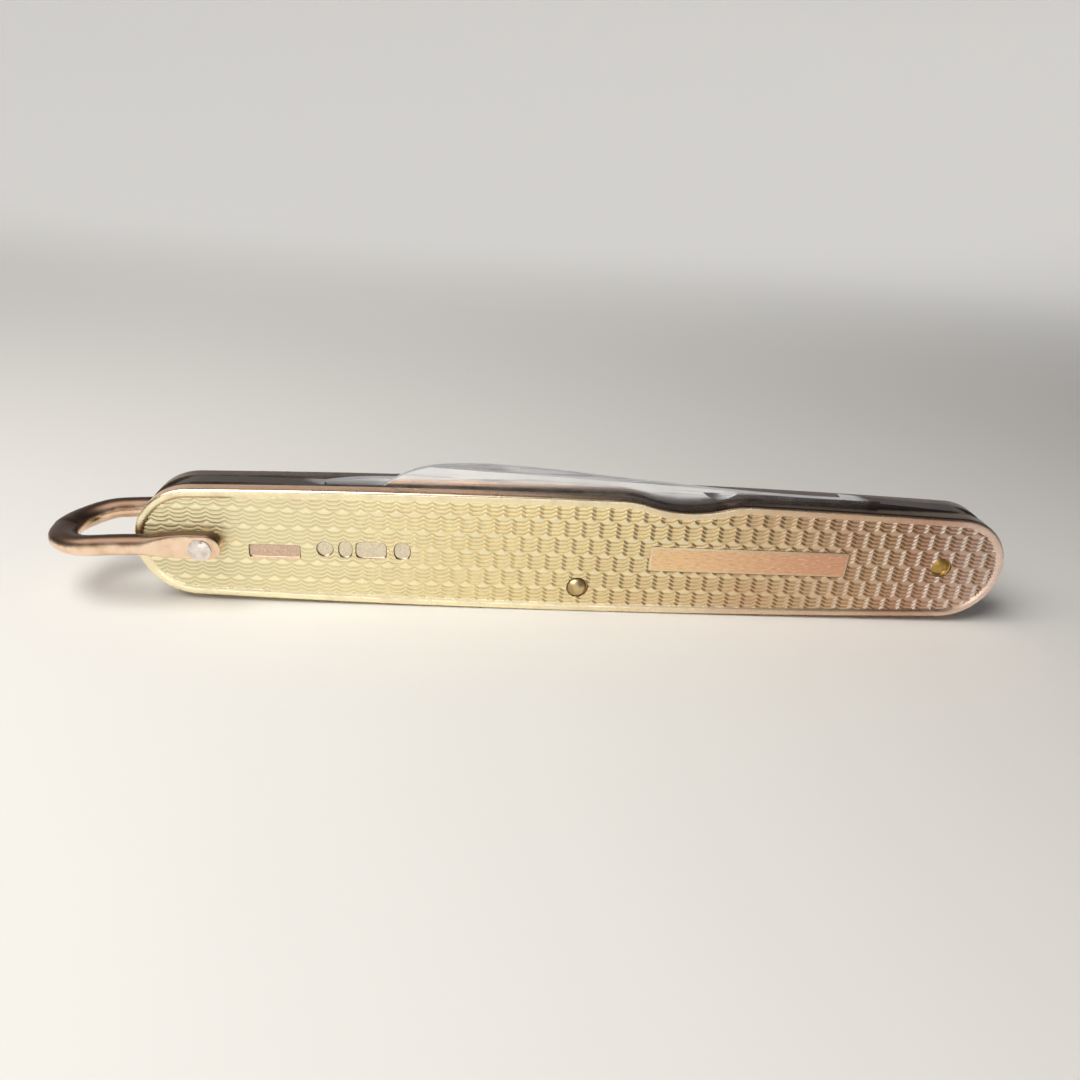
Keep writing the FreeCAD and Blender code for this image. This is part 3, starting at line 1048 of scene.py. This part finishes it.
def bail_gold():
    gold = Finish("bail_gold")
    rubbed = gold.fade(gold.grain(600, 600, 600, 4.0), 0.4, 0.7)
    colour = gold.blend(rubbed, bail_bright, bail_rubbed)
    # The upper side of the bail is painted dark brown: painted shade.
    top_shade = gold.fade(gold.facing("Z") + 0.15 * rubbed, 0.05, 0.65)
    colour = gold.blend(top_shade * 0.95, colour, bail_top_shade)
    scratches = gold.grain(2500, 9000, 9000)
    roughness = 0.18 + 0.12 * scratches + 0.15 * top_shade
    return gold.surface(colour, roughness, gold.raised(scratches, 0.008))


settle(bail_bent, bail_sharp, bail_gold())
stand_in(bail_bent, "bail", "bail")

# %% [markdown]
# ## Stage
# Polished metal shows its surroundings, so the stage is part of the look. It is a pale floor that
# curves up all round into a wall, like a photographer's bowl. The front faces mirror the floor in
# front of the knife and turn bright, and the grey upper wall in front keeps the walls of the cuts that
# mirror it dark. Little light reaches the far wall, so its paint glows a little there. Only the
# camera and the metal see that glow, and the knife gets no more light from it.

# %% Stage paint
floor_pale = (0.80, 0.79, 0.77)
wall_grey = (0.36, 0.35, 0.34)
no_glow = (0.0, 0.0, 0.0)
far_glow = (0.45, 0.44, 0.425)


def stage_paint():
    paint = Finish("stage_paint")
    mottle = paint.grain(14, 14, 14)
    colour = paint.blend(paint.between("Z", 90, 200), floor_pale, wall_grey)
    ray = paint.node("ShaderNodeLightPath", output="Is Camera Ray")
    for kind in ("Is Glossy Ray", "Is Transmission Ray"):
        ray = ray + paint.node("ShaderNodeLightPath", output=kind)
    glow = paint.blend(ray * paint.between("Y", 30, 300), no_glow, far_glow)
    others = {"Metallic": 0.0, "Emission Color": glow, "Emission Strength": 1.0}
    return paint.surface(colour, 0.75 + 0.15 * mottle, paint.raised(mottle, 0.4), **others)


# %% Stage bowl
floor_radius = 0.28
wall_radius = 0.55
wall_height = 0.36
curve_steps = 20
bowl_turns = 96


def make_stage():
    """The floor and wall, as rings round the middle of the floor."""
    profile = [(floor_radius * share, 0.0) for share in (0.2, 0.5, 0.8)]
    for step in range(curve_steps + 1):
        angle = math.pi / 2 * step / curve_steps
        radius = floor_radius + (wall_radius - floor_radius) * math.sin(angle)
        profile.append((radius, wall_height * (1 - math.cos(angle))))
    points = [(0.0, 0.0, 0.0)]
    for radius, z in profile:
        for turn in range(bowl_turns):
            angle = 2 * math.pi * turn / bowl_turns
            points.append((radius * math.cos(angle), radius * math.sin(angle), z))
    faces = []
    for turn in range(bowl_turns):
        after = (turn + 1) % bowl_turns
        faces.append((0, 1 + turn, 1 + after))
        for ring in range(len(profile) - 1):
            low = 1 + ring * bowl_turns
            high = low + bowl_turns
            faces.append((low + turn, high + turn, high + after, low + after))
    mesh = bpy.data.meshes.new("stage_bowl")
    mesh.from_pydata(points, [], faces)
    mesh.shade_smooth()
    mesh.materials.append(stage_paint())
    bowl = bpy.data.objects.new("stage_bowl", mesh)
    bpy.context.collection.objects.link(bowl)
    bowl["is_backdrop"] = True
    print(bowl.name, len(faces), "faces")


make_stage()

# %% [markdown]
# ## Light
# Three soft lamps are enough. One hangs high on the left and lights the floor, which the flat faces
# mirror, so the left end comes out brightest. The second is a long, low light box in front. It ends
# a little to the right of the middle, so the walls of the cuts that face left mirror it and those
# that face right mirror the dark beside it, and that is what draws the brickwork. The third is a small
# card higher up in front, which the bevel along the main blade's back mirrors. All are hidden from the
# camera but not from the metal. The world adds a dim, even grey.

# %% Lamps
warm_white = (1.0, 0.97, 0.92)


def soft_lamp(name, place, aim, wide, high, power):
    """A rectangle of light at a place, turned to its aim."""
    data = bpy.data.lights.new(name, "AREA")
    data.shape = "RECTANGLE"
    data.size = wide
    data.size_y = high
    data.energy = power
    data.color = warm_white
    lamp = bpy.data.objects.new(name, data)
    lamp.location = place
    lamp.rotation_euler = (Vector(aim) - Vector(place)).to_track_quat("-Z", "Y").to_euler()
    lamp.visible_camera = False
    bpy.context.collection.objects.link(lamp)


soft_lamp("top_lamp", (-0.115, -0.075, 0.195), (0.0, -0.02, 0.0), 0.18, 0.18, 0.65)
soft_lamp("front_box", (-0.12, -0.27, 0.056), (-0.12, 0.0, 0.056), 0.455, 0.092, 0.17)
soft_lamp("blade_card", (0.015, -0.30, 0.155), (0.0, 0.0, 0.013), 0.12, 0.06, 0.012)

# %% World
world = bpy.data.worlds.new("dim_room")
world.use_nodes = True
sky = world.node_tree.nodes["Background"]
sky.inputs["Color"].default_value = (0.10, 0.10, 0.105, 1.0)
sky.inputs["Strength"].default_value = 1.0
bpy.context.scene.world = world
bpy.context.scene.view_settings.view_transform = "Standard"
print("world", world.name, "seen as", bpy.context.scene.view_settings.view_transform)

# %% [markdown]
# ## Camera
# The photograph was taken from close by with a wide lens, a little to the left and 25 degrees up,
# and with the camera slightly rolled. Those values came from fitting the even pitch of the turning,
# so the camera is set by its own axes. The third one follows from the other two.

# %% Camera
camera_place = Vector((-6.01, -74.2, 41.8)) * MM
right = Vector((0.996581, -0.051702, 0.064449))
up = Vector((-0.035749, 0.433402, 0.900491))
lens = bpy.data.cameras.new("photo_camera")
lens.sensor_fit = "HORIZONTAL"
lens.sensor_width = 36.0
lens.lens = 28.67
lens.clip_start = 0.001
camera = bpy.data.objects.new("photo_camera", lens)
axes = Matrix((right, up, right.cross(up))).transposed().to_4x4()
camera.matrix_world = Matrix.Translation(camera_place) @ axes
bpy.context.collection.objects.link(camera)
bpy.context.scene.camera = camera
print("camera at", [round(v, 4) for v in camera.location])

# %% [markdown]
# ## The sizes of the boxes
# The CAD model's box and the dressed knife's box are printed in millimetres. The
# dressed knife has to stay in the CAD model's box.

# %% Sizes of the boxes
boxes = {"cad": cad_box, "visual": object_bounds()}
for name, box in boxes.items():
    print(name, [[round(v / MM, 2) for v in corner] for corner in box])
